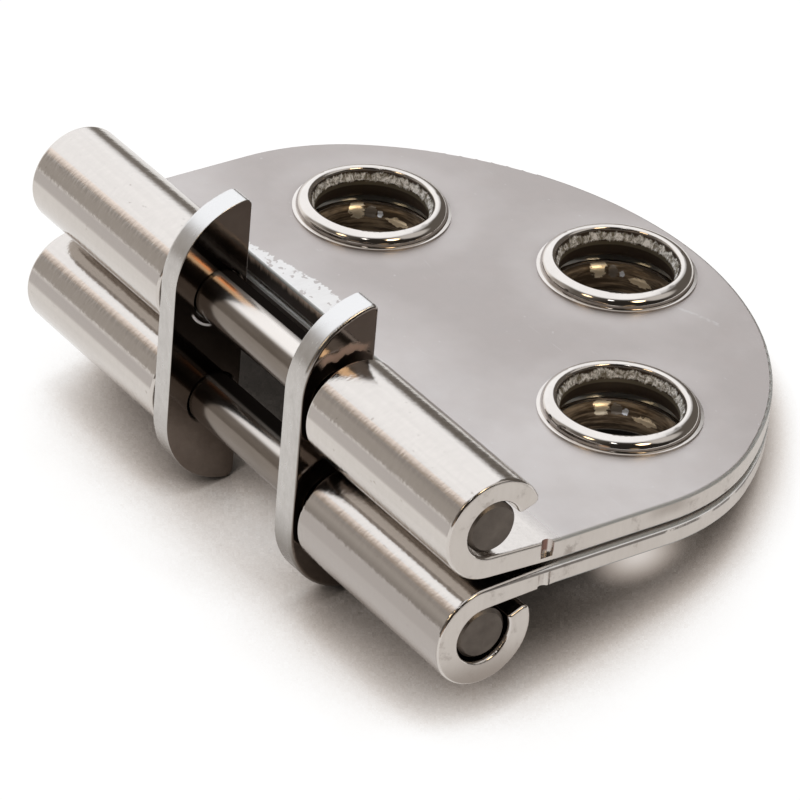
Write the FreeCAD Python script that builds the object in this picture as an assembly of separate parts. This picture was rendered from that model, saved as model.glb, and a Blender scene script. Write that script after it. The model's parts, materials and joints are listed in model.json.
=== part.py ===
"""Double-pivot link hinge with two half-round leaves, folded shut.

Frame, in millimetres: +X along the pins, +Y from the pins towards the leaves, +Z square to the
folded leaves. The origin is the centre of the folded hinge's box. The lower leaf, pin and eyelets
mirror the upper ones in z = 0, apart from how far the knuckles are rolled.
"""

import FreeCAD
import Part
import math
import os

V = FreeCAD.Vector
X_AXIS = V(1, 0, 0)
Z_AXIS = V(0, 0, 1)

# Driving dimensions.
LENGTH = 61.6  # over the knuckle ends
PIN_PITCH = 10.0  # between the two pin axes
LEAF_REACH = 43.0  # from the pins to the apex of a leaf
PLATE_T = 2.0  # leaf plate
LEAF_GAP = 0.3  # between the folded leaves

KNUCKLE_R = 4.5  # outside of the rolled knuckle
KNUCKLE_IN = 10.9  # each knuckle starts this far from mid length
UPPER_ROLL_END_DEG = 18.0  # free end of the roll as seen from its pin, away from the leaf's plane
LOWER_ROLL_END_DEG = -24.0  # the lower leaf is rolled further, past level
ROLL_END_OUT_R = 0.6  # rounding of that end, outside
ROLL_END_IN_R = 0.25  # and inside
ROLL_LIFT_DEG = 3.0  # slope of the strip between the flat plate and the roll
STRIP_BEND_R = 6.0  # bend where the strip flattens into the plate
SLOT_EDGE = 8.75  # from the pins to the leaf's edge between its knuckles
NECK_IN = 17.8  # the necks that carry the knuckles start this far from mid length
NECK_RELIEF = 2.0  # from the pins to the relief cut between a neck and the slot
SLOT_CORNER_R = 0.5

CORNER_ARC_R = 19.0  # outline arc beside each straight side
MAIN_ARC_R = 33.0  # outline arc round the apex

PIN_R = 2.25
PIN_RECESS = 0.3  # each end of a pin, inside the knuckle's end
PIN_CHAMFER = 0.3

LINK_T = 2.3
LINK_FRONT = 2.65  # link edge on the leaf side, from the pins
LINK_BACK = 4.4  # link edge on the other side, from the pins
LINK_ARC_R = 7.3  # outline arc at each end of a link
LINK_ARC_Z = 6.3  # height of the centre of that arc
LINK_TIP_R = 0.7
LINK_HOLE_R = 2.35
LINK_HOLE_CHAMFER = 0.15
LINK_ROLL_R = 0.35  # rounded punch side of a link
LINK_BURR_R = 0.08  # broken edge on its other side
LEFT_LINK_X = -10.8  # lowest x of the left link, beside its knuckle
RIGHT_LINK_X = 7.7  # lowest x of the right link

SIDE_HOLE_X = 17.95
SIDE_HOLE_Y = 21.98  # from the pins
APEX_HOLE_Y = 34.95  # from the pins
PLATE_HOLE_R = 5.45
SINK_R = 6.45  # countersink on a leaf's inner face
SINK_DEPTH = 1.3

BARREL_IN_R = 4.95
BARREL_OUT_R = 5.4
FLANGE_R = 6.87
FLANGE_T = 0.16  # height of the flange's outer edge above the plate
BEAD_FOOT_R = 6.6  # where the bead rises from the flange
BEAD_FOOT_H = 0.2
CREST_R = 5.7  # of the bead
CREST_H = 1.15
BEAD_BULGE = 0.27  # how far the bead's outer side stands out from its chord
LIP_R = 5.3  # where the bead has turned over
LIP_H = 0.85
LIP_BULGE = 0.11  # how far that turn stands out from its chord
FUNNEL_END = 0.1  # height where the hole has narrowed to the barrel
BARREL_END = 0.75  # where the barrel begins to flare, below the plate's outer face
FLARE_DEPTH = 1.9  # the flared end's lowest point
FLARE_IN_R = 5.85  # inside of that end
FLARE_OUT_R = 6.1
FLARE_OUT_DEPTH = 1.65
FLARE_BULGE = 0.25  # how far the flare's inside stands out from its chord
FLARE_HOLLOW = 0.2  # how far its outside falls in

EDGE_R = 0.3  # on the leaf's outer edges
NICK_R = 0.6  # relief nick in each side of a leaf
NICK_Y = 5.4  # from the pins
NICK_OUT = 0.15  # its centre lies this far outside the side
NICK_DEPTH = 1.4  # from the leaf's outer face

HALF = LENGTH / 2
PIN_Y = -(LEAF_REACH - KNUCKLE_R) / 2
PIN_Z = PIN_PITCH / 2
FACE_IN = LEAF_GAP / 2
FACE_OUT = FACE_IN + PLATE_T
BORE_R = KNUCKLE_R - PLATE_T
TOUCH = 1e-4  # two positions closer than this are one


def polar(centre, radius, degrees, x=0.0):
    """A point round a centre in a plane square to the pins, with 0 degrees towards +Y."""
    a = math.radians(degrees)
    return V(x, centre.y + radius * math.cos(a), centre.z + radius * math.sin(a))


def arc_edge(centre, radius, start, end):
    """An arc in a plane square to the pins, between two angles in degrees."""
    points = [polar(centre, radius, a, centre.x) for a in (start, (start + end) / 2, end)]
    return Part.Arc(*points).toShape()


def line_edge(a, b):
    return Part.LineSegment(a, b).toShape()


def mirrored(shape):
    return shape.mirror(V(0, 0, 0), Z_AXIS)


def knuckle_strip(low, high, roll_end):
    """The strip that rises from the plate and rolls back over the pin, from x = low to x = high."""
    pin = V(low, PIN_Y, PIN_Z)
    leave = 270.0 - ROLL_LIFT_DEG
    slope = math.radians(ROLL_LIFT_DEG)
    along = V(0, math.cos(slope), -math.sin(slope))
    inner_start = polar(pin, BORE_R, leave, low)
    outer_start = polar(pin, KNUCKLE_R, leave, low)
    bend_top = FACE_OUT + STRIP_BEND_R * (1 - math.cos(slope))
    run = (inner_start.z - bend_top) / math.sin(slope)
    inner_bend = inner_start + along * run
    outer_bend = outer_start + along * run
    hub = inner_bend + V(0, math.sin(slope), math.cos(slope)) * STRIP_BEND_R
    inner_flat = V(low, hub.y, FACE_OUT)
    outer_flat = V(low, hub.y, FACE_IN)
    far = PIN_Y + SLOT_EDGE + PLATE_T
    wire = Part.Wire(
        [
            arc_edge(pin, KNUCKLE_R, roll_end, leave),
            line_edge(outer_start, outer_bend),
            arc_edge(hub, STRIP_BEND_R + PLATE_T, 270 - ROLL_LIFT_DEG, 270),
            line_edge(outer_flat, V(low, far, FACE_IN)),
            line_edge(V(low, far, FACE_IN), V(low, far, FACE_OUT)),
            line_edge(V(low, far, FACE_OUT), inner_flat),
            arc_edge(hub, STRIP_BEND_R, 270, 270 - ROLL_LIFT_DEG),
            line_edge(inner_bend, inner_start),
            arc_edge(pin, BORE_R, leave, roll_end),
            line_edge(polar(pin, BORE_R, roll_end, low), polar(pin, KNUCKLE_R, roll_end, low)),
        ]
    )
    return Part.Face(wire).extrude(X_AXIS * (high - low))


def half_round_plate():
    """The flat plate: straight sides, an arc beside each and one round the apex."""
    main_y = PIN_Y + LEAF_REACH - MAIN_ARC_R
    corner_x = HALF - CORNER_ARC_R
    rise = math.sqrt((MAIN_ARC_R - CORNER_ARC_R) ** 2 - corner_x**2)
    corner_y = main_y + rise
    turn = math.atan2(rise, corner_x)
    root = PIN_Y + SLOT_EDGE

    def at(cx, cy, radius, angle):
        return V(cx + radius * math.cos(angle), cy + radius * math.sin(angle), FACE_IN)

    start = V(HALF, root, FACE_IN)
    side_end = V(HALF, corner_y, FACE_IN)
    meet = at(corner_x, corner_y, CORNER_ARC_R, turn)
    apex = V(0, PIN_Y + LEAF_REACH, FACE_IN)

    def other(point):
        return V(-point.x, point.y, point.z)

    corner_mid = at(corner_x, corner_y, CORNER_ARC_R, turn / 2)
    wire = Part.Wire(
        [
            line_edge(start, side_end),
            Part.Arc(side_end, corner_mid, meet).toShape(),
            Part.Arc(meet, apex, other(meet)).toShape(),
            Part.Arc(other(meet), other(corner_mid), other(side_end)).toShape(),
            line_edge(other(side_end), other(start)),
            line_edge(other(start), start),
        ]
    )
    return Part.Face(wire).extrude(Z_AXIS * PLATE_T)


def hole_centres():
    return {
        "left": (-SIDE_HOLE_X, PIN_Y + SIDE_HOLE_Y),
        "right": (SIDE_HOLE_X, PIN_Y + SIDE_HOLE_Y),
        "apex": (0.0, PIN_Y + APEX_HOLE_Y),
    }


def slot_corner_edges(shape):
    """The upright edges in the two inner corners of the slot between the necks."""
    found = []
    for edge in shape.Edges:
        ends = [v.Point for v in edge.Vertexes]
        if len(ends) != 2:
            continue
        upright = abs(ends[0].x - ends[1].x) + abs(ends[0].y - ends[1].y) < TOUCH
        beside_neck = abs(abs(ends[0].x) - NECK_IN) < TOUCH
        on_slot_edge = abs(ends[0].y - PIN_Y - SLOT_EDGE) < TOUCH
        if upright and beside_neck and on_slot_edge:
            found.append(edge)
    return found


def flat_in_x(edge, x):
    """Whether a whole edge lies in the plane at this x."""
    return abs(edge.BoundBox.XMin - x) < TOUCH and abs(edge.BoundBox.XMax - x) < TOUCH


def along_x_at(edge, y, z):
    """Whether an edge runs parallel to the pins at this y, and at this height above or below the middle."""
    box = edge.BoundBox
    straight = box.YLength < TOUCH and box.ZLength < TOUCH
    return straight and abs(box.YMin - y) < TOUCH and abs(abs(box.ZMin) - z) < TOUCH


def roll_end_edges(shape, radius, roll_end):
    """The two long edges at the knuckles' free ends, this far from the pin."""
    corner = polar(V(0, PIN_Y, PIN_Z), radius, roll_end)
    return [e for e in shape.Edges if along_x_at(e, corner.y, corner.z)]


def is_outline_edge(edge):
    """Whether an edge runs round the leaf's outline or a knuckle's end, and isn't upright."""
    box = edge.BoundBox
    if box.XLength < TOUCH and box.YLength < TOUCH:
        return False
    at_end = any(flat_in_x(edge, x) for x in (-HALF, -KNUCKLE_IN, KNUCKLE_IN, HALF))
    on_face = box.ZLength < TOUCH and min(abs(box.ZMin - FACE_OUT), abs(box.ZMin - FACE_IN)) < TOUCH
    return at_end or on_face


def neck_relief(side):
    """The cut that makes a neck narrower than its knuckle, on one side of mid length."""
    low_x = KNUCKLE_IN if side > 0 else -NECK_IN
    corner = V(low_x, PIN_Y + NECK_RELIEF, FACE_IN - PLATE_T)
    top = PIN_Z - BORE_R + TOUCH
    return Part.makeBox(NECK_IN - KNUCKLE_IN, SLOT_EDGE - NECK_RELIEF, top - corner.z, corner)


def leaf_above(roll_end):
    """A leaf that lies above the middle plane, with its knuckles rolled up to this angle."""
    leaf = half_round_plate()
    knuckles = [knuckle_strip(low, low + HALF - KNUCKLE_IN, roll_end) for low in (-HALF, KNUCKLE_IN)]
    leaf = leaf.fuse(knuckles).removeSplitter()
    for side in (-1, 1):
        leaf = leaf.cut(neck_relief(side))
    leaf = leaf.makeFillet(SLOT_CORNER_R, slot_corner_edges(leaf))
    leaf = leaf.makeFillet(ROLL_END_OUT_R, roll_end_edges(leaf, KNUCKLE_R, roll_end))
    leaf = leaf.makeFillet(ROLL_END_IN_R, roll_end_edges(leaf, BORE_R, roll_end))
    leaf = leaf.makeFillet(EDGE_R, [e for e in leaf.Edges if is_outline_edge(e)])
    for x, y in hole_centres().values():
        leaf = leaf.cut(Part.makeCylinder(PLATE_HOLE_R, PLATE_T, V(x, y, FACE_IN)))
        leaf = leaf.cut(Part.makeCone(SINK_R, PLATE_HOLE_R, SINK_DEPTH, V(x, y, FACE_IN)))
    for side in (-1, 1):
        centre = V(side * (HALF + NICK_OUT), PIN_Y + NICK_Y, FACE_OUT - NICK_DEPTH)
        leaf = leaf.cut(Part.makeCylinder(NICK_R, 2 * NICK_DEPTH, centre))
    return leaf


def upper_pin():
    end = HALF - PIN_RECESS
    rod = Part.makeCylinder(PIN_R, 2 * end, V(-end, PIN_Y, PIN_Z), X_AXIS)
    return rod.makeChamfer(PIN_CHAMFER, [e for e in rod.Edges if e.isClosed() and len(e.Vertexes) == 1])


def link(x, roll_side):
    """A punched plate that carries both pins; roll_side is +1 or -1 for the face with the rounded edge."""
    top = V(x, PIN_Y - LINK_BACK + LINK_ARC_R, LINK_ARC_Z)
    low = V(x, top.y, -LINK_ARC_Z)
    reach = LINK_FRONT + LINK_BACK - LINK_ARC_R
    tip_deg = math.degrees(math.acos(reach / LINK_ARC_R))
    upper_tip = polar(top, LINK_ARC_R, tip_deg, x)
    lower_tip = polar(low, LINK_ARC_R, -tip_deg, x)
    wire = Part.Wire(
        [
            arc_edge(top, LINK_ARC_R, tip_deg, 180),
            line_edge(polar(top, LINK_ARC_R, 180, x), polar(low, LINK_ARC_R, 180, x)),
            arc_edge(low, LINK_ARC_R, 180, 360 - tip_deg),
            line_edge(lower_tip, upper_tip),
        ]
    )
    plate = Part.Face(wire).extrude(X_AXIS * LINK_T)
    tips = [e for e in plate.Edges if along_x_at(e, upper_tip.y, upper_tip.z)]
    plate = plate.makeFillet(LINK_TIP_R, tips)
    rolled_x = x + LINK_T if roll_side > 0 else x
    burr_x = x if roll_side > 0 else x + LINK_T
    for face_x, radius in ((rolled_x, LINK_ROLL_R), (burr_x, LINK_BURR_R)):
        rim = [e for e in plate.Edges if flat_in_x(e, face_x)]
        plate = plate.makeFillet(radius, rim)
    mouth = LINK_HOLE_R + LINK_HOLE_CHAMFER
    for z in (-PIN_Z, PIN_Z):
        plate = plate.cut(Part.makeCylinder(LINK_HOLE_R, LINK_T, V(x, PIN_Y, z), X_AXIS))
        for face_x, inwards in ((x, X_AXIS), (x + LINK_T, -X_AXIS)):
            chamfer = Part.makeCone(mouth, LINK_HOLE_R, LINK_HOLE_CHAMFER, V(face_x, PIN_Y, z), inwards)
            plate = plate.cut(chamfer)
    return plate


def bulged_arc(a, b, bulge):
    """An arc in a plane through an eyelet's axis that bulges to the right of the way from a to b."""
    chord = b - a
    outwards = V(chord.z, 0, -chord.x).normalize()
    return Part.Arc(a, (a + b) / 2 + outwards * bulge, b).toShape()


def upper_eyelet(x, y):
    """A rolled eyelet: thin flange, rounded bead, barrel through the plate and a flared end."""

    def at(radius, height):
        return V(radius, 0, height)

    rim = at(FLANGE_R, FLANGE_T)
    foot = at(BEAD_FOOT_R, BEAD_FOOT_H)
    crest = at(CREST_R, CREST_H)
    lip = at(LIP_R, LIP_H)
    barrel_top = at(BARREL_IN_R, FUNNEL_END)
    barrel_end = at(BARREL_IN_R, -BARREL_END)
    flare_in = at(FLARE_IN_R, -FLARE_DEPTH)
    flare_out = at(FLARE_OUT_R, -FLARE_OUT_DEPTH)
    flare_top = at(BARREL_OUT_R, -BARREL_END)
    profile = [
        line_edge(at(BARREL_OUT_R, 0), at(FLANGE_R, 0)),
        line_edge(at(FLANGE_R, 0), rim),
        line_edge(rim, foot),
        bulged_arc(foot, crest, BEAD_BULGE),
        bulged_arc(crest, lip, LIP_BULGE),
        line_edge(lip, barrel_top),
        line_edge(barrel_top, barrel_end),
        bulged_arc(barrel_end, flare_in, FLARE_BULGE),
        line_edge(flare_in, flare_out),
        bulged_arc(flare_out, flare_top, -FLARE_HOLLOW),
        line_edge(flare_top, at(BARREL_OUT_R, 0)),
    ]
    ring = Part.Face(Part.Wire(profile)).revolve(V(0, 0, 0), Z_AXIS, 360)
    ring.translate(V(x, y, FACE_OUT))
    return ring


def build():
    shapes = {
        "upper_leaf": leaf_above(UPPER_ROLL_END_DEG),
        "lower_leaf": mirrored(leaf_above(LOWER_ROLL_END_DEG)),
        "upper_pin": upper_pin(),
        "lower_pin": mirrored(upper_pin()),
        "left_link": link(LEFT_LINK_X, -1),
        "right_link": link(RIGHT_LINK_X, 1),
    }
    for name, (x, y) in hole_centres().items():
        eyelet = upper_eyelet(x, y)
        shapes["upper_eyelet_" + name] = eyelet
        shapes["lower_eyelet_" + name] = mirrored(eyelet)
    return shapes


os.makedirs("parts", exist_ok=True)
for node, shape in build().items():
    assert len(shape.Solids) == 1 and shape.isValid(), node
    solid = shape.Solids[0]
    solid.exportStep("parts/" + node + ".step")
    box = solid.BoundBox
    size = [round(length, 2) for length in (box.XLength, box.YLength, box.ZLength)]
    print(node, round(solid.Volume, 1), "mm3, box", size)
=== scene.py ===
"""Looks of the double-pivot link hinge: camera, studio, floor and the nickel-plated steel of every piece."""

from functools import partial
import json
import math

import bpy
from mathutils import Matrix, Vector


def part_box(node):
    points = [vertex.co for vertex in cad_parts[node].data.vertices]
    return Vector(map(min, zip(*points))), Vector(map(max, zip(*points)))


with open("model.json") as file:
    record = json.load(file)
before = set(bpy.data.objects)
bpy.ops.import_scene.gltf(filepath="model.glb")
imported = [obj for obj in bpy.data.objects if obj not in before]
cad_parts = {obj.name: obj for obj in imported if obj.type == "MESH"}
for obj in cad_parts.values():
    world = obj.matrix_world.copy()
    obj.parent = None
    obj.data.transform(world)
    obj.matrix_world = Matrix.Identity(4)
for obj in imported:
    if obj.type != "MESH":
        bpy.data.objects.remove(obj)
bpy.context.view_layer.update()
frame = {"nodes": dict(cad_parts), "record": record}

MM = 0.001

# Where things are, read from the frame.
PIN_LOW, PIN_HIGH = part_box("upper_pin")
PIN_Y = (PIN_LOW.y + PIN_HIGH.y) / 2
PIN_Z = (PIN_LOW.z + PIN_HIGH.z) / 2
HALF_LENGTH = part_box("upper_leaf")[1].x
EYELET_PROUD = 1.15 * MM  # how far an eyelet stands above the leaf's outer face
FACE_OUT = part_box("upper_eyelet_left")[1].z - EYELET_PROUD  # height of that face
SLOT_Y = PIN_Y + 8.75 * MM  # the slot's edge away from the pins
HOLES = [sum(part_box("upper_eyelet_" + name), Vector()) / 2 for name in ("left", "right", "apex")]


# Camera.

CAMERA_AZIMUTH = 52.569
CAMERA_ELEVATION = 32.304
CAMERA_ROLL = 5.229
CAMERA_DISTANCE = 449.46 * MM
CAMERA_TARGET = Vector((5.838, -10.565, 0.263)) * MM
CAMERA_LENS = 247.15
CAMERA_SENSOR = 36
CAMERA_CLIP = 0.01


def cosine(degrees):
    return math.cos(math.radians(degrees))


def direction(azimuth, elevation):
    """The unit vector towards a place; azimuth 0 is -Y, 90 is +X."""
    a, e = math.radians(azimuth), math.radians(elevation)
    return Vector((math.sin(a) * math.cos(e), -math.cos(a) * math.cos(e), math.sin(e)))


def make_camera():
    back = direction(CAMERA_AZIMUTH, CAMERA_ELEVATION)
    right = Vector((math.cos(math.radians(CAMERA_AZIMUTH)), math.sin(math.radians(CAMERA_AZIMUTH)), 0))
    up = back.cross(right)
    roll = math.radians(CAMERA_ROLL)
    x_axis = right * math.cos(roll) + up * math.sin(roll)
    y_axis = up * math.cos(roll) - right * math.sin(roll)
    data = bpy.data.cameras.new("camera")
    data.lens = CAMERA_LENS
    data.sensor_width = CAMERA_SENSOR
    data.clip_start = CAMERA_CLIP
    camera = bpy.data.objects.new("camera", data)
    place = Matrix((x_axis, y_axis, back)).transposed().to_4x4()
    place.translation = CAMERA_TARGET + back * CAMERA_DISTANCE
    camera.matrix_world = place
    bpy.context.scene.collection.objects.link(camera)
    bpy.context.scene.camera = camera


# Node helpers.

class Tree:
    """Short calls for making and joining shader nodes."""

    def __init__(self, node_tree):
        self.tree = node_tree
        self.tree.nodes.clear()

    def node(self, kind, inputs=None, **settings):
        made = self.tree.nodes.new(kind)
        for name, value in settings.items():
            setattr(made, name, value)
        for name, value in (inputs or {}).items():
            self.feed(made.inputs[name], value)
        return made

    def feed(self, socket, value):
        if isinstance(value, bpy.types.NodeSocket):
            self.tree.links.new(value, socket)
        else:
            socket.default_value = value

    def math(self, operation, a, b=0.0, clamp=False):
        return self.node("ShaderNodeMath", {0: a, 1: b}, operation=operation, use_clamp=clamp).outputs[0]

    def times(self, first, *others):
        for other in others:
            first = self.math("MULTIPLY", first, other)
        return first

    def most(self, first, *others):
        for other in others:
            first = self.math("MAXIMUM", first, other)
        return first

    def vector(self, operation, a, b):
        return self.node("ShaderNodeVectorMath", {0: a, 1: b}, operation=operation).outputs["Vector"]

    def length(self, vector):
        return self.node("ShaderNodeVectorMath", {0: vector}, operation="LENGTH").outputs["Value"]

    def part(self, vector, axis):
        return self.node("ShaderNodeSeparateXYZ", {0: vector}).outputs[axis]

    def dot(self, a, b):
        made = self.node("ShaderNodeVectorMath", {0: a, 1: b}, operation="DOT_PRODUCT")
        return made.outputs["Value"]

    def step(self, value, low, high):
        """0 below low, 1 above high, smooth between; low may be the larger."""
        made = self.node("ShaderNodeMapRange", {"Value": value, "From Min": low, "From Max": high},
                         interpolation_type="SMOOTHSTEP")
        return made.outputs["Result"]

    def band(self, value, start, full, fading, end):
        """0 below start and above end, 1 from full to fading, smooth between."""
        return self.times(self.step(value, start, full), self.step(value, end, fading))

    def spread(self, value, low, high):
        """value from 0 to 1 becomes low to high."""
        made = self.node("ShaderNodeMapRange", {"Value": value, "To Min": low, "To Max": high})
        return made.outputs["Result"]

    def mix(self, share, a, b):
        made = self.node("ShaderNodeMix", data_type="RGBA")
        self.feed(made.inputs[0], share)
        self.feed(made.inputs[6], a)
        self.feed(made.inputs[7], b)
        return made.outputs[2]

    def mix_value(self, share, a, b):
        made = self.node("ShaderNodeMix", data_type="FLOAT")
        self.feed(made.inputs[0], share)
        self.feed(made.inputs[2], a)
        self.feed(made.inputs[3], b)
        return made.outputs[0]

    def stretched(self, vector, scales):
        made = self.node("ShaderNodeMapping", {"Vector": vector, "Scale": scales})
        return made.outputs["Vector"]

    def noise(self, vector, scale=1.0, detail=3.0, roughness=0.5, distortion=0.0):
        made = self.node("ShaderNodeTexNoise", {"Vector": vector, "Scale": scale, "Detail": detail,
                                                "Roughness": roughness, "Distortion": distortion})
        return made.outputs["Fac"]


# Studio light: soft panels round the object, as places in the sky with soft edges.

WHITE = (1, 1, 1, 1)
DIM_ROOM = (0.15, 0.135, 0.12, 1)
PANELS = (
    # azimuth, elevation, half width of the even part and of the whole, radiance
    (80, 10, 35, 75, (0.03, 0.026, 0.023, 1)),
    (-75, 0, 35, 70, (0.50, 0.47, 0.44, 1)),
    (-100, 75, 24, 44, (1.42, 1.46, 1.52, 1)),
    (-85, 12, 16, 34, (1.12, 1.10, 1.08, 1)),
    (-97, 42, 29, 42, (1.42, 1.46, 1.52, 1)),
    (-46, 24, 2, 7, (0.40, 0.37, 0.35, 1)),
    (136, 44, 12, 26, (0.75, 0.73, 0.71, 1)),
    (30, 5, 4, 14, (0.50, 0.33, 0.22, 1)),
    (75, 8, 3, 9, (0.34, 0.25, 0.16, 1)),
    (95, 46, 6, 10, (6.0, 4.7, 3.1, 1)),
    (45, 52, 2, 4, (5.0, 5.0, 5.0, 1)),
    (5, 42, 4, 8, (4.2, 3.2, 2.0, 1)),
)


def make_studio():
    world = bpy.data.worlds.new("studio")
    bpy.context.scene.world = world
    world.use_nodes = True
    tree = Tree(world.node_tree)
    way = tree.node("ShaderNodeTexCoord").outputs["Generated"]
    light = DIM_ROOM
    for azimuth, elevation, inner, outer, radiance in PANELS:
        towards = tree.dot(way, tuple(direction(azimuth, elevation)))
        share = tree.step(towards, cosine(outer), cosine(inner))
        light = tree.mix(share, light, radiance)
    path = tree.node("ShaderNodeLightPath")
    lit = tree.node("ShaderNodeBackground", {"Color": light, "Strength": 1.0})
    seen = tree.node("ShaderNodeBackground", {"Color": WHITE, "Strength": 1.0})
    chosen = tree.node("ShaderNodeMixShader", {0: path.outputs["Is Camera Ray"], 1: lit.outputs[0],
                                               2: seen.outputs[0]})
    tree.node("ShaderNodeOutputWorld", {"Surface": chosen.outputs[0]})


# Floor: a sheet of pale paper that the hinge rests on with its links' tips and its lower apex eyelet.

FLOOR_HALF = 1.5
FLOOR_STEP = 1 * MM
BEAD_IN = 1.1 * MM  # from the eyelet's outer edge to the lowest point of its bead
RAMP_IN = 6 * MM  # how far the slope takes to begin
RAMP_OUT = 8 * MM  # and to end
SHADE_REACH = 26 * MM
SHADE_SAMPLES = 16
SHADE_DARK = 0.22  # share of open sky where the floor's shade is deepest
SHADE_CLEAR = 0.65  # and where it ends
SHADE_TINT = (1.2, 1.0, 0.85, 1)
PAPER = (0.07, 0.065, 0.06, 1)
FLOOR_GLOW = 0.97
GLINT_AT = (23.2 * MM, 2.0 * MM, 0)  # a painted pool of light on the floor, standing for light thrown back by the lower leaf's bright rim
GLINT_REACH = 5.0 * MM
GLINT_SHAPE = (1.2, 1.0, 0)  # shorter along X than along Y
GLINT_GLOW = 0.60


def smooth(t):
    t = max(0.0, min(1.0, t))
    return t * t * (3 - 2 * t)


def floor_profile():
    """Points of the sheet's section: level, a slope from the links' tips to the apex eyelet, then level."""
    link_low, link_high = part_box("left_link")
    eye_low, eye_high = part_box("lower_eyelet_apex")
    tip = Vector((link_high.y, link_low.z))
    crest = Vector((eye_high.y - BEAD_IN, eye_low.z))
    slope = (crest.y - tip.y) / (crest.x - tip.x)
    y, z = tip.x - RAMP_IN, tip.y - slope * RAMP_IN / 2
    points = [(-FLOOR_HALF, z), (y, z)]
    while y < crest.x + RAMP_OUT:
        middle = y + FLOOR_STEP / 2
        begun = smooth((middle - tip.x) / RAMP_IN + 1)
        going = smooth((crest.x - middle) / RAMP_OUT + 1)
        z += FLOOR_STEP * slope * begun * going
        y += FLOOR_STEP
        points.append((y, z))
    points.append((FLOOR_HALF, z))
    return points


def make_floor():
    profile = floor_profile()
    vertices = [(side * FLOOR_HALF, y, z) for y, z in profile for side in (-1, 1)]
    faces = [(2 * i, 2 * i + 1, 2 * i + 3, 2 * i + 2) for i in range(len(profile) - 1)]
    mesh = bpy.data.meshes.new("floor")
    mesh.from_pydata(vertices, [], faces)
    mesh.polygons.foreach_set("use_smooth", [True] * len(faces))
    floor = bpy.data.objects.new("floor", mesh)
    bpy.context.scene.collection.objects.link(floor)
    material = bpy.data.materials.new("floor_paper")
    material.use_nodes = True
    tree = Tree(material.node_tree)
    # The floor glows, and its glow fades where the hinge hides the open sky around it: a painted shadow,
    # tinted warm, with the painted pool of light laid over it.
    sky = tree.node("ShaderNodeAmbientOcclusion", {"Distance": SHADE_REACH}, samples=SHADE_SAMPLES)
    share = tree.node("ShaderNodeMapRange", {"Value": sky.outputs["AO"], "From Min": SHADE_DARK,
                                             "From Max": SHADE_CLEAR}).outputs["Result"]
    place = tree.node("ShaderNodeTexCoord").outputs["Object"]
    offset = tree.vector("MULTIPLY", tree.vector("SUBTRACT", place, GLINT_AT), GLINT_SHAPE)
    glint = tree.times(tree.step(tree.length(offset), GLINT_REACH, 0.0), GLINT_GLOW)
    share = tree.most(tree.times(share, share), glint)
    paper = tree.node("ShaderNodeBsdfDiffuse", {"Color": PAPER})
    glow = tree.node("ShaderNodeEmission", {"Color": tree.mix(share, SHADE_TINT, WHITE),
                                            "Strength": tree.times(share, FLOOR_GLOW)})
    both = tree.node("ShaderNodeAddShader", {0: paper.outputs[0], 1: glow.outputs[0]})
    tree.node("ShaderNodeOutputMaterial", {"Surface": both.outputs[0]})
    mesh.materials.append(material)


# Metal.

def metal(name, build):
    """A metal whose colour, roughness, bump, bump depth and bare share come from build(tree, place, normal).

    The bare share is 1 where the surface shines as clean metal and less where it is dull.
    """
    material = bpy.data.materials.new(name)
    material.use_nodes = True
    tree = Tree(material.node_tree)
    where = tree.node("ShaderNodeTexCoord")
    colour, roughness, bump, depth, bare = build(tree, where.outputs["Object"], where.outputs["Normal"])
    relief = tree.node("ShaderNodeBump", {"Height": bump, "Distance": depth, "Strength": 1.0})
    shader = tree.node("ShaderNodeBsdfPrincipled", {"Base Color": colour, "Roughness": roughness,
                                                    "Normal": relief.outputs[0], "Metallic": bare,
                                                    "Specular IOR Level": 0.0})
    tree.node("ShaderNodeOutputMaterial", {"Surface": shader.outputs[0]})
    return material


NICKEL = (0.67, 0.625, 0.58, 1)
NICKEL_DULL = (0.54, 0.50, 0.465, 1)
NICKEL_BRIGHT = (0.62, 0.61, 0.60, 1)
BURNISHED_AND_LIT = (0.80, 0.79, 0.775, 1)
ARC_PAINTED_HIGHLIGHT = (0.95, 0.93, 0.92, 1)
PLATE_PALE_AND_LIT = (0.565, 0.535, 0.52, 1)
PLATE_GREY = (0.40, 0.367, 0.352, 1)
PLATE_MOTTLE = (0.51, 0.452, 0.43, 1)
KNUCKLE_PAINTED_SHADE = (0.36, 0.325, 0.30, 1)
SHEARED = (0.57, 0.525, 0.485, 1)
SHEARED_STREAK = (0.50, 0.455, 0.415, 1)
SHEARED_DIRT_AND_PAINTED_SHADE = (0.26, 0.22, 0.19, 1)
EDGE_GREY = (0.40, 0.40, 0.385, 1)
EDGE_PAINTED_HIGHLIGHT = (0.85, 0.85, 0.87, 1)
RIM_DULL = (0.40, 0.375, 0.35, 1)
RIM_PALE = (0.60, 0.575, 0.55, 1)
RIM_PAINTED_HIGHLIGHT = (0.66, 0.65, 0.64, 1)
RIM_PAINTED_SHADE = (0.17, 0.15, 0.13, 1)
LINK_FACE_DARK = (0.12, 0.095, 0.08, 1)
LINK_FACE_PALE = (0.22, 0.185, 0.16, 1)
STEEL = (0.62, 0.57, 0.525, 1)
STEEL_DULL = (0.24, 0.205, 0.175, 1)
STEEL_PAINTED_SHADE_DARK = (0.14, 0.115, 0.095, 1)
STEEL_PAINTED_SHADE_BLACK = (0.010, 0.008, 0.007, 1)
PIN_END = (0.155, 0.13, 0.11, 1)
PIN_END_DARK = (0.06, 0.048, 0.04, 1)
SOOT_AND_PAINTED_SHADE = (0.055, 0.045, 0.04, 1)
PIN_PAINTED_WARM_REFLECTION = (0.80, 0.42, 0.24, 1)
RUST = (0.17, 0.085, 0.065, 1)
PEACH_PAINTED_SHEEN = (0.64, 0.51, 0.41, 1)
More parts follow.
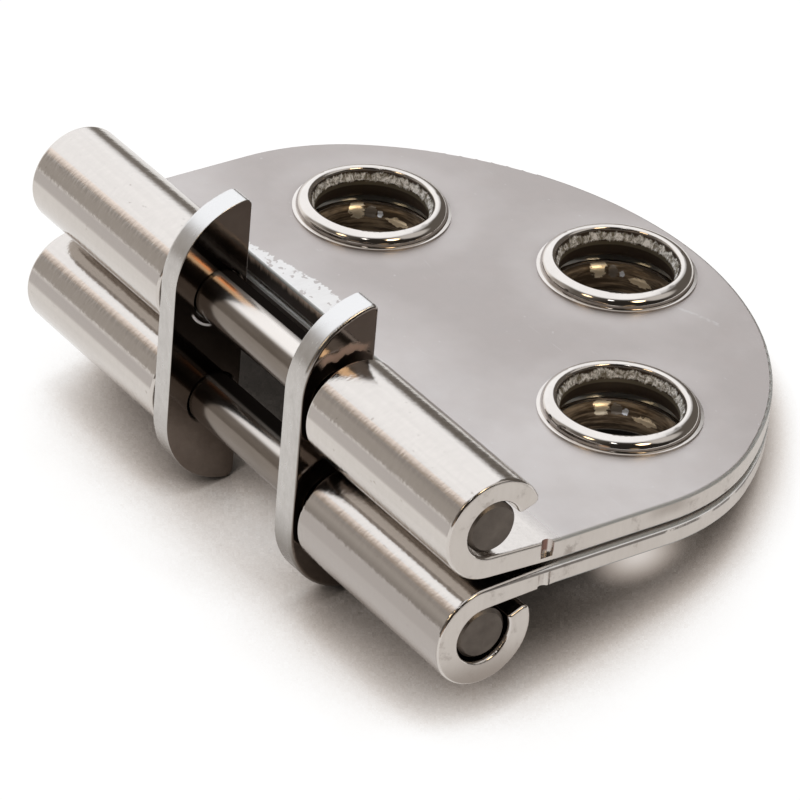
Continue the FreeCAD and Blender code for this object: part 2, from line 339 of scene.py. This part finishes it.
TORN_PAINTED_REFLECTION = (0.75, 0.52, 0.42, 1)
TORN_PAINTED_HIGHLIGHT = (1.0, 0.98, 0.95, 1)
OLIVE = (0.20, 0.175, 0.13, 1)
INNER_BROWN = (0.085, 0.062, 0.042, 1)
INNER_TAN = (0.34, 0.26, 0.18, 1)


def polar_way(degrees):
    """A direction square to the pins; 0 is +Y and 90 is +Z."""
    return 0, cosine(degrees), math.sin(math.radians(degrees))


def flat_offset(tree, place, centre):
    """The way from an upright line through centre, with no height."""
    return tree.vector("MULTIPLY", tree.vector("SUBTRACT", place, centre), (1, 1, 0))


def flat_distance(tree, place, centre):
    return tree.length(flat_offset(tree, place, centre))


def scratches(tree, place, degrees, width, length, low, high):
    """Thin straight marks at one angle in the plate's plane: 1 on a mark, 0 off it."""
    turned = tree.node("ShaderNodeMapping", {"Vector": place, "Rotation": (0, 0, math.radians(degrees)),
                                             "Scale": (1 / length, 1 / width, 1 / width)}).outputs["Vector"]
    return tree.step(tree.noise(turned, 1.0, 2, 0.4), low, high)


# Leaf.

PLATE_BEGINS = (PIN_Y + 5.0 * MM, PIN_Y + 7.5 * MM)
FACES_AXIS = (0.8, 0.95)  # a surface faces an axis from these cosines of its normal
SLOT_HALF = (17.7 * MM, 17.3 * MM)  # half of the slot's length, from outside it to inside it
LEAF_BUMP = 0.022 * MM

# Painted shade and a painted peach reflection round the knuckles: direction, cosines from which it shows and
# is full, which knuckles, share, colour.
KNUCKLE_PAINTED_TONES = (
    (182, 0.80, 0.90, "near lower", 0.8, KNUCKLE_PAINTED_SHADE),
    (165, cosine(9), cosine(4), "all", 0.8, KNUCKLE_PAINTED_SHADE),
    (50, 0.86, 0.97, "lower", 0.8, KNUCKLE_PAINTED_SHADE),
    (134, cosine(5), cosine(1), "all", 0.6, PEACH_PAINTED_SHEEN),
)
LOWER_FROM = (0.0, -1.0 * MM)  # height
NEAR_FROM = (0.0, 10.0 * MM)  # X

# Painted light, partly: the plate is paler round the near corner, beside the slot and in a ring round each
# eyelet.
CORNER_PAINTED_LIGHT = Vector((HALF_LENGTH - 5.0 * MM, SLOT_Y + 3.0 * MM, 0))
CORNER_PAINTED_LIGHT_REACH = (22.0 * MM, 4.0 * MM)
SLOT_SIDE_PAINTED_LIGHT = (SLOT_Y + 9.0 * MM, SLOT_Y)
EYELET_PAINTED_LIGHT_RING = (6.9 * MM, 7.6 * MM, 8.2 * MM, 10.5 * MM)  # paler ring round each eyelet, partly painted light, as radii

SCRATCH_WANDER = (4.0 * MM, 4.0 * MM, 4.0 * MM)  # how far noise bends a scratch

# The long scratch beside the apex eyelet.
SCRATCH_START = Vector((7.6 * MM, PIN_Y + 37.2 * MM, 0))
SCRATCH_WAY = Vector((6.4, 2.3, 0)).normalized()
SCRATCH_ASIDE = Vector((-SCRATCH_WAY.y, SCRATCH_WAY.x, 0))
SCRATCH_HALF_WIDTH = (0.26 * MM, 0.08 * MM)
SCRATCH_LENGTH = (0.0, 0.8 * MM, 6.2 * MM, 7.2 * MM)

# The strip worn bright beside the slot, partly a painted highlight.
WORN_LENGTH = (-20.0 * MM, -18.0 * MM, -7.0 * MM, -2.0 * MM)
WORN_WIDENS = (-19.0 * MM, -10.0 * MM)
WORN_WIDTH = (0.7 * MM, 2.6 * MM)
WORN_RAGGED = 0.9 * MM

# Marks on the sheared edge, among them a painted highlight line at the joint, painted shade and sheen on the
# slot's face and painted shade low on the rings' ends. Those along it are Y, radii are round a nick, and the
# others are heights.
SMUDGE_ALONG = (PIN_Y + 14.5 * MM, PIN_Y + 17.0 * MM, PIN_Y + 18.0 * MM, PIN_Y + 20.5 * MM)
SMUDGE_FROM = (0.6 * MM, 1.6 * MM)
JOINT_PAINTED_HIGHLIGHT = (-0.5 * MM, -0.4 * MM, -0.1 * MM, 0.0)
JOINT_GROOVE = (-0.8 * MM, -0.7 * MM, -0.55 * MM, -0.45 * MM)
SLOT_FACE_PAINTED_SHEEN = (FACE_OUT - 0.9 * MM, FACE_OUT - 0.1 * MM)
NICK_OUT = HALF_LENGTH + 0.15 * MM
NICK_Y = PIN_Y + 5.4 * MM
NICK_RADIUS = (0.72 * MM, 0.58 * MM)
NICK_RUST_FROM = (0.9 * MM, 1.3 * MM)
RING_END_PAINTED_SHADE = (-5.6 * MM, -9.2 * MM)


def knuckle_colour(tree, place, normal, across):
    """Rolled sheet, with marks across the roll, and painted shade and a painted peach reflection where it
    turns from the light.
    """
    lines = tree.noise(tree.stretched(place, (60, 1800, 1800)), 1.0, 4, 0.6)
    pits = tree.step(tree.noise(place, 1700, 2, 0.5), 0.70, 0.76)
    colour = tree.mix(tree.times(lines, across), NICKEL_DULL, NICKEL)
    colour = tree.mix(tree.times(pits, 0.35), colour, SHEARED_DIRT_AND_PAINTED_SHADE)
    lower = tree.step(tree.part(place, "Z"), *LOWER_FROM)
    near = tree.step(tree.part(place, "X"), *NEAR_FROM)
    knuckles = {"all": 1.0, "lower": lower, "near lower": tree.times(lower, near)}
    for degrees, shows, full, which, share, painted_tone in KNUCKLE_PAINTED_TONES:
        facing = tree.step(tree.dot(normal, polar_way(degrees)), shows, full)
        colour = tree.mix(tree.times(facing, knuckles[which], share), colour, painted_tone)
    return colour


def plate_marks(tree, place):
    """Fine scratches, specks and the long scratch: 1 on a mark, 0 off it."""
    wander = tree.node("ShaderNodeTexNoise", {"Vector": place, "Scale": 60.0}).outputs["Color"]
    bent = tree.vector("ADD", place, tree.vector("MULTIPLY", wander, SCRATCH_WANDER))
    one_way = scratches(tree, bent, 24, 0.14 * MM, 7 * MM, 0.74, 0.80)
    other_way = scratches(tree, bent, -58, 0.12 * MM, 5 * MM, 0.75, 0.81)
    from_start = tree.vector("SUBTRACT", bent, SCRATCH_START)
    aside = tree.math("ABSOLUTE", tree.dot(from_start, SCRATCH_ASIDE))
    broken = tree.step(tree.noise(place, 1300, 3, 0.6), 0.44, 0.60)
    long_one = tree.times(tree.step(aside, *SCRATCH_HALF_WIDTH),
                          tree.band(tree.dot(from_start, SCRATCH_WAY), *SCRATCH_LENGTH), broken)
    specks = tree.step(tree.noise(place, 1500, 1, 0.3), 0.77, 0.82)
    return tree.most(one_way, other_way, specks, long_one)


def worn_lit_strip(tree, place):
    """The strip worn bright beside the slot, partly a painted highlight, wider towards the middle, with a
    ragged border: 1 on it.
    """
    x = tree.part(place, "X")
    ragged = tree.noise(tree.stretched(place, (1900, 500, 500)), 1.0, 4, 0.7)
    wide = tree.node("ShaderNodeMapRange", {"Value": x, "From Min": WORN_WIDENS[0],
                                            "From Max": WORN_WIDENS[1], "To Min": WORN_WIDTH[0],
                                            "To Max": WORN_WIDTH[1]}).outputs["Result"]
    border = tree.math("ADD", wide, SLOT_Y)
    border = tree.math("ADD", border, tree.spread(ragged, -WORN_RAGGED, WORN_RAGGED))
    rubbed = tree.math("LESS_THAN", tree.part(place, "Y"), border)
    dots = tree.step(tree.noise(place, 1600, 2, 0.5), 0.64, 0.60)
    return tree.times(rubbed, tree.band(x, *WORN_LENGTH), dots, tree.spread(ragged, 0.6, 1.0))


def plate_colour(tree, place, mottle):
    """Satin plate, paler beside the slot, round the near corner and in a ring round each eyelet, partly
    painted light.
    """
    cloud = tree.noise(place, 70, 5, 0.6)
    pale_and_lit = tree.most(tree.times(tree.step(tree.part(place, "Y"), *SLOT_SIDE_PAINTED_LIGHT), 0.75),
                     tree.step(flat_distance(tree, place, CORNER_PAINTED_LIGHT), *CORNER_PAINTED_LIGHT_REACH))
    for hole in HOLES:
        ring = tree.band(flat_distance(tree, place, hole), *EYELET_PAINTED_LIGHT_RING)
        pale_and_lit = tree.most(pale_and_lit, tree.times(ring, 0.3))
    pale_and_lit = tree.math("ADD", tree.times(pale_and_lit, 0.8), tree.spread(cloud, -0.8, 1.0), clamp=True)
    colour = tree.mix(pale_and_lit, PLATE_GREY, PLATE_PALE_AND_LIT)
    colour = tree.mix(tree.spread(mottle, 0.0, 0.45), colour, PLATE_MOTTLE)
    colour = tree.mix(tree.times(plate_marks(tree, place), 0.4), colour, NICKEL_BRIGHT)
    return tree.mix(worn_lit_strip(tree, place), colour, BURNISHED_AND_LIT)


def edge_colour(tree, place, streaks, blotch, in_slot):
    """Sheared edges: upright streaks, pits, one soft smudge, rust in the nicks, a dark line and a painted
    highlight line at the joint, and painted shade and a painted peach sheen on the slot's face.
    """
    z = tree.part(place, "Z")
    colour = tree.mix(streaks, SHEARED_STREAK, SHEARED)
    colour = tree.mix(tree.times(tree.step(blotch, 0.56, 0.70), 0.6), colour, SHEARED_DIRT_AND_PAINTED_SHADE)
    smudge = tree.times(tree.band(tree.part(place, "Y"), *SMUDGE_ALONG), tree.step(z, *SMUDGE_FROM))
    colour = tree.mix(tree.times(smudge, 0.5), colour, SHEARED_DIRT_AND_PAINTED_SHADE)
    # Painted shade low on the slot's face, and a painted peach sheen near its top.
    rise = tree.math("ADD", tree.math("ABSOLUTE", z), tree.spread(streaks, -0.5 * MM, 0.5 * MM))
    colour = tree.mix(in_slot, colour, tree.mix(tree.step(rise, *SLOT_FACE_PAINTED_SHEEN), SOOT_AND_PAINTED_SHADE, PEACH_PAINTED_SHEEN))
    for side in (-1, 1):
        away = flat_distance(tree, place, Vector((side * NICK_OUT, NICK_Y, 0)))
        rusty = tree.times(tree.step(away, *NICK_RADIUS), tree.step(z, *NICK_RUST_FROM))
        colour = tree.mix(rusty, colour, RUST)
    broken = tree.step(blotch, 0.36, 0.46)
    # A dark line at the joint, and above it a painted highlight line along the edge.
    colour = tree.mix(tree.times(tree.band(z, *JOINT_GROOVE), broken, 0.75), colour, SOOT_AND_PAINTED_SHADE)
    return tree.mix(tree.times(tree.band(z, *JOINT_PAINTED_HIGHLIGHT), 0.7), colour, EDGE_PAINTED_HIGHLIGHT)


def leaf_steel(tree, place, normal):
    facing_z = tree.math("ABSOLUTE", tree.part(normal, "Z"))
    end = tree.step(tree.math("ABSOLUTE", tree.part(normal, "X")), *FACES_AXIS)
    on_plate = tree.step(tree.part(place, "Y"), *PLATE_BEGINS)
    satin = tree.times(on_plate, tree.step(facing_z, 0.6, 0.9))
    sheared = tree.most(tree.times(on_plate, tree.step(facing_z, 0.5, 0.2)), end)
    broken_edge = tree.times(on_plate, tree.step(facing_z, 0.97, 0.85), tree.step(facing_z, 0.10, 0.30))
    along_slot = tree.step(tree.math("ABSOLUTE", tree.part(place, "X")), *SLOT_HALF)
    in_slot = tree.times(tree.step(tree.part(normal, "Y"), -0.6, -0.9), along_slot, sheared)
    # Painted shade: the ring ends darker low down.
    painted_shade_low_ends = tree.times(end, tree.step(tree.part(place, "Z"), *RING_END_PAINTED_SHADE))

    across = tree.noise(tree.stretched(place, (2600, 1000, 1000)), 1.0, 4, 0.6)
    mottle = tree.noise(place, 420, 4, 0.65)
    grain = tree.noise(tree.stretched(place, (900, 1400, 900)), 1.0, 5, 0.6)
    streaks = tree.noise(tree.stretched(place, (2200, 2200, 350)), 1.0, 4, 0.65)
    blotch = tree.noise(place, 380, 5, 0.7)

    colour = tree.mix(satin, knuckle_colour(tree, place, normal, across), plate_colour(tree, place, mottle))
    colour = tree.mix(sheared, colour, edge_colour(tree, place, streaks, blotch, in_slot))
    colour = tree.mix(tree.times(painted_shade_low_ends, 0.85), colour, SHEARED_DIRT_AND_PAINTED_SHADE)
    colour = tree.mix(broken_edge, colour, EDGE_GREY)
    roughness = tree.mix_value(satin, tree.spread(across, 0.05, 0.20), tree.spread(mottle, 0.27, 0.40))
    roughness = tree.mix_value(sheared, roughness, tree.spread(blotch, 0.28, 0.5))
    height = tree.mix_value(satin, across, tree.spread(grain, 0, 0.3))
    height = tree.mix_value(sheared, height, tree.spread(streaks, 0, 0.7))
    bare = 1.0
    dulled = ((in_slot, 0.35), (broken_edge, 0.25), (satin, 0.65), (tree.times(sheared, on_plate), 0.92))
    for zone, share in dulled:
        bare = tree.math("MINIMUM", bare, tree.spread(zone, 1.0, share))
    return colour, roughness, height, LEAF_BUMP, bare


# Links. The near one is on the +X side.

NEAR_LINK = (-2.0 * MM, 2.0 * MM)  # X
LINK_PAINTED_SHADE_LOW = (-4.0 * MM, -9.0 * MM)  # height over which the rim takes painted shade
LINK_BUMP = 0.012 * MM
ARC_RADII = (2.66 * MM, 2.76 * MM, 2.88 * MM, 2.98 * MM)  # painted highlight arc below the far link's pin hole
ARC_WAY = 232
TORN_RADII = (4.4 * MM, 4.7 * MM, 5.0 * MM, 5.7 * MM)  # painted warm reflection in a patch above the near knuckle
TORN_WAY = 96
TORN_RAGGED = 1.0 * MM


def link_rim(tree, place, normal, near, grain):
    """A link's rim: a painted highlight on top, and painted shade low down, most of all on the near link, and
    on its underside.
    """
    facing_up = tree.part(normal, "Z")
    painted_top_highlight = tree.times(tree.step(facing_up, 0.3, 0.8), 0.8)
    low = tree.times(tree.step(tree.part(place, "Z"), *LINK_PAINTED_SHADE_LOW), tree.spread(near, 0.2, 0.85))
    painted_foot_shade = tree.times(tree.step(facing_up, -0.15, -0.7), 0.9)
    colour = tree.mix(painted_top_highlight, tree.mix(grain, RIM_DULL, RIM_PALE), RIM_PAINTED_HIGHLIGHT)
    return tree.mix(painted_foot_shade, tree.mix(low, colour, RIM_PAINTED_SHADE), RIM_PAINTED_SHADE)


def link_steel(tree, place, normal):
    face = tree.step(tree.math("ABSOLUTE", tree.part(normal, "X")), 0.75, 0.95)
    near = tree.step(tree.part(place, "X"), *NEAR_LINK)
    grain = tree.noise(tree.stretched(place, (1500, 900, 900)), 1.0, 5, 0.65)
    wave = tree.noise(place, 350, 3, 0.5)

    from_pin = tree.vector("MULTIPLY", tree.vector("SUBTRACT", place, (0, PIN_Y, PIN_Z)), (0, 1, 1))
    way = tree.node("ShaderNodeVectorMath", {0: from_pin}, operation="NORMALIZE").outputs["Vector"]
    away = tree.length(from_pin)
    arc_highlight = tree.times(tree.band(away, *ARC_RADII), tree.step(tree.dot(way, polar_way(ARC_WAY)), 0.86, 0.95),
                     face, tree.math("SUBTRACT", 1.0, near))
    ragged = tree.spread(tree.noise(place, 500, 3, 0.6), -TORN_RAGGED, TORN_RAGGED)
    torn_reflection = tree.times(tree.band(tree.math("ADD", away, ragged), *TORN_RADII),
                      tree.step(tree.dot(way, polar_way(TORN_WAY)), 0.86, 0.94), face, near)
    soft = tree.most(arc_highlight, torn_reflection)

    mirror = tree.mix(wave, LINK_FACE_DARK, LINK_FACE_PALE)
    mirror = tree.mix(tree.times(torn_reflection, 0.6), mirror, TORN_PAINTED_REFLECTION)
    mirror = tree.mix(arc_highlight, mirror, ARC_PAINTED_HIGHLIGHT)
    colour = tree.mix(face, link_rim(tree, place, normal, near, grain), mirror)
    roughness = tree.mix_value(face, tree.spread(grain, 0.16, 0.34), tree.spread(wave, 0.03, 0.12))
    roughness = tree.mix_value(soft, roughness, 0.5)
    height = tree.mix_value(face, tree.spread(grain, 0, 0.5), wave)
    return colour, roughness, height, LINK_BUMP, tree.spread(soft, 1.0, 0.1)


# Pins.

# The painted highlight streak along each pin: its direction, half width of the even part and of the whole,
# and strength.
PIN_PAINTED_GLEAM = {"upper_pin": (114, 9, 24, 1.0), "lower_pin": (124, 3, 14, 0.6)}
GLEAM_RISES = (-8.0 * MM, -2.5 * MM)  # X over which the painted highlight rises from its least
GLEAM_LEAST = 0.25
PIN_PAINTED_SHADE_SIDE = 66  # painted shade on the side away from the light
SHADED_HALF = (46, 30)  # half width of the black there, whole and even
PIN_PAINTED_SHADE_UNDER = 205
WARM_REFLECTION_TURN = 10  # a painted warm reflection this far before the streak
WARM_REFLECTION_HALF = 7
WARM_REFLECTION_ALONG = (-8.4 * MM, -7.6 * MM, -6.0 * MM, -4.0 * MM)
PIN_BUMP = 0.006 * MM


def pin_steel(degrees, inner, outer, gleam, tree, place, normal):
    x = tree.part(place, "X")
    end = tree.step(tree.math("ABSOLUTE", tree.part(normal, "X")), 0.5, 0.8)
    lines = tree.noise(tree.stretched(place, (90, 2300, 2300)), 1.0, 4, 0.6)
    smudge = tree.noise(tree.stretched(place, (160, 900, 900)), 1.0, 5, 0.7)
    blotch = tree.noise(place, 700, 4, 0.6)
    # Painted light round each pin: a highlight streak, painted shade on the side away from the light and
    # underneath, and a warm reflection near the far link.
    painted_bright = tree.step(tree.dot(normal, polar_way(degrees)), cosine(outer), cosine(inner))
    painted_bright = tree.times(painted_bright, tree.spread(tree.step(x, *GLEAM_RISES), GLEAM_LEAST, gleam))
    painted_under = tree.step(tree.dot(normal, polar_way(PIN_PAINTED_SHADE_UNDER)), -0.25, 0.75)
    painted_shaded = tree.step(tree.dot(normal, polar_way(PIN_PAINTED_SHADE_SIDE)), *map(cosine, SHADED_HALF))
    warm = tree.step(tree.dot(normal, polar_way(degrees - WARM_REFLECTION_TURN)), cosine(WARM_REFLECTION_HALF), 1.0)
    warm_reflection = tree.times(warm, tree.band(x, *WARM_REFLECTION_ALONG))
    side = tree.mix(painted_under, tree.mix(smudge, STEEL_DULL, STEEL), tree.mix(smudge, STEEL_PAINTED_SHADE_DARK, STEEL_DULL))
    side = tree.mix(painted_shaded, side, STEEL_PAINTED_SHADE_BLACK)
    side = tree.mix(painted_bright, side, tree.mix(lines, STEEL, NICKEL))
    side = tree.mix(tree.times(warm_reflection, 0.8), side, PIN_PAINTED_WARM_REFLECTION)
    colour = tree.mix(end, side, tree.mix(blotch, PIN_END_DARK, PIN_END))
    roughness = tree.mix_value(end, tree.spread(smudge, 0.06, 0.30), 0.5)
    bare = tree.most(tree.math("SUBTRACT", 1.0, painted_shaded), painted_bright, warm_reflection, end)
    return colour, roughness, tree.mix_value(end, lines, blotch), PIN_BUMP, bare


# Eyelets.

# Painted light spots inside an eyelet: turn from the far side, height, half width in degrees, half height,
# colour.
INNER_PAINTED_LIGHTS = (
    (-15, -0.8 * MM, 8, 0.75 * MM, (1.0, 0.88, 0.68, 1)),
    (-1, -1.0 * MM, 6, 0.5 * MM, (0.24, 0.21, 0.18, 1)),
    (8, -1.1 * MM, 3, 0.3 * MM, (0.90, 0.93, 1.0, 1)),
    (28, -1.5 * MM, 12, 0.4 * MM, (0.95, 0.78, 0.55, 1)),
)
FAR_SIDE = 142.6  # degrees from +X to the side of an eyelet that is furthest from the camera
LIGHT_RAGGED = 1.8
INSIDE = (5.62 * MM, 5.50 * MM)  # radius
THROAT_TOP = (FACE_OUT + 1.0 * MM, FACE_OUT + 0.8 * MM)
TORN_BAND = (FACE_OUT - 0.05 * MM, FACE_OUT + 0.1 * MM, FACE_OUT + 0.6 * MM, FACE_OUT + 0.75 * MM)
TORN_JAGGED = 0.6 * MM
DULL_BAND = (FACE_OUT - 0.45 * MM, FACE_OUT - 0.3 * MM, FACE_OUT - 0.05 * MM, FACE_OUT + 0.05 * MM)
UPPER_PART = (0.0, 0.4 * MM)  # height from which an eyelet's throat is plain dark, painted shade
EYELET_BUMP = 0.012 * MM


def eyelet_nickel(centre, tree, place, _normal):
    z = tree.part(place, "Z")
    offset = flat_offset(tree, place, centre)
    inside = tree.step(tree.length(offset), *INSIDE)
    throat = tree.times(inside, tree.step(tree.math("ABSOLUTE", z), *THROAT_TOP))
    wave = tree.noise(place, 450, 3, 0.5)
    drawn = tree.noise(tree.stretched(place, (2600, 2600, 420)), 1.0, 4, 0.7)
    turned = tree.noise(tree.stretched(place, (260, 260, 2600)), 1.0, 4, 0.65)
    jagged = tree.noise(tree.stretched(place, (1500, 1500, 500)), 1.0, 5, 0.8)
    flecks = tree.noise(tree.stretched(place, (2300, 2300, 1500)), 1.0, 5, 0.8, 0.6)
    blur = tree.noise(tree.stretched(place, (1500, 1500, 2400)), 1.0, 4, 0.7)

    # Painted shade in the throat: black in its upper part, brown with tan streaks lower down.
    lower_part = tree.mix(tree.step(turned, 0.40, 0.68), INNER_BROWN, INNER_TAN)
    upper_part = tree.mix(drawn, SOOT_AND_PAINTED_SHADE, INNER_BROWN)
    # A jagged painted highlight band in the throat, flecked with olive.
    ragged = tree.math("ADD", z, tree.spread(jagged, -TORN_JAGGED, TORN_JAGGED))
    torn_reflection = tree.times(tree.band(ragged, *TORN_BAND), throat)
    dull = tree.times(tree.band(z, *DULL_BAND), throat)
    colour = tree.mix(throat, tree.mix(wave, NICKEL_DULL, NICKEL),
                      tree.mix(tree.step(z, *UPPER_PART), lower_part, upper_part))
    colour = tree.mix(dull, colour, OLIVE)
    colour = tree.mix(torn_reflection, colour, tree.mix(tree.step(flecks, 0.40, 0.62), OLIVE, TORN_PAINTED_HIGHLIGHT))

    way = tree.node("ShaderNodeVectorMath", {0: offset}, operation="NORMALIZE").outputs["Vector"]
    blur = tree.spread(blur, -LIGHT_RAGGED, LIGHT_RAGGED)
    # Painted light spots inside the throat.
    painted_bright = 0.0
    for turn, height, wide, tall, tone in INNER_PAINTED_LIGHTS:
        angle = math.radians(FAR_SIDE - turn)
        turned_from = tree.math("SUBTRACT", 1.0, tree.dot(way, (math.cos(angle), math.sin(angle), 0)))
        aside = tree.math("DIVIDE", turned_from, 1 - cosine(wide))
        up = tree.math("DIVIDE", tree.math("SUBTRACT", z, height), tall)
        spot = tree.math("ADD", tree.math("ADD", aside, tree.times(up, up)), blur)
        lit = tree.times(inside, tree.step(spot, 1.05, 0.75))
        colour = tree.mix(lit, colour, tone)
        painted_bright = tree.math("MAXIMUM", painted_bright, lit)

    roughness = tree.mix_value(throat, tree.spread(wave, 0.03, 0.10), 0.42)
    roughness = tree.mix_value(painted_bright, roughness, 0.3)
    bare = tree.math("MINIMUM", tree.spread(throat, 1.0, 0.45), tree.spread(torn_reflection, 1.0, 0.05))
    bare = tree.most(bare, tree.times(painted_bright, 0.7))
    return colour, roughness, tree.mix_value(inside, wave, drawn), EYELET_BUMP, bare


def dress():
    """One material for both leaves, one for both links, and one for each pin and eyelet."""
    shared = {
        "leaf_plate": metal("leaf_plate_nickel", leaf_steel),
        "link_steel": metal("link_nickel", link_steel),
    }
    slots = {part["node"]: part["material_slot"] for part in frame["record"]["subparts"]}
    for name, piece in frame["nodes"].items():
        if slots[name] == "eyelet_nickel":
            low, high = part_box(name)
            finish = metal(name + "_nickel", partial(eyelet_nickel, (low + high) / 2))
        elif slots[name] == "pin_steel":
            finish = metal(name + "_steel", partial(pin_steel, *PIN_PAINTED_GLEAM[name]))
        else:
            finish = shared[slots[name]]
        piece.data.materials.clear()
        piece.data.materials.append(finish)


make_camera()
make_studio()
make_floor()
dress()
bpy.context.scene.view_settings.view_transform = "Standard"
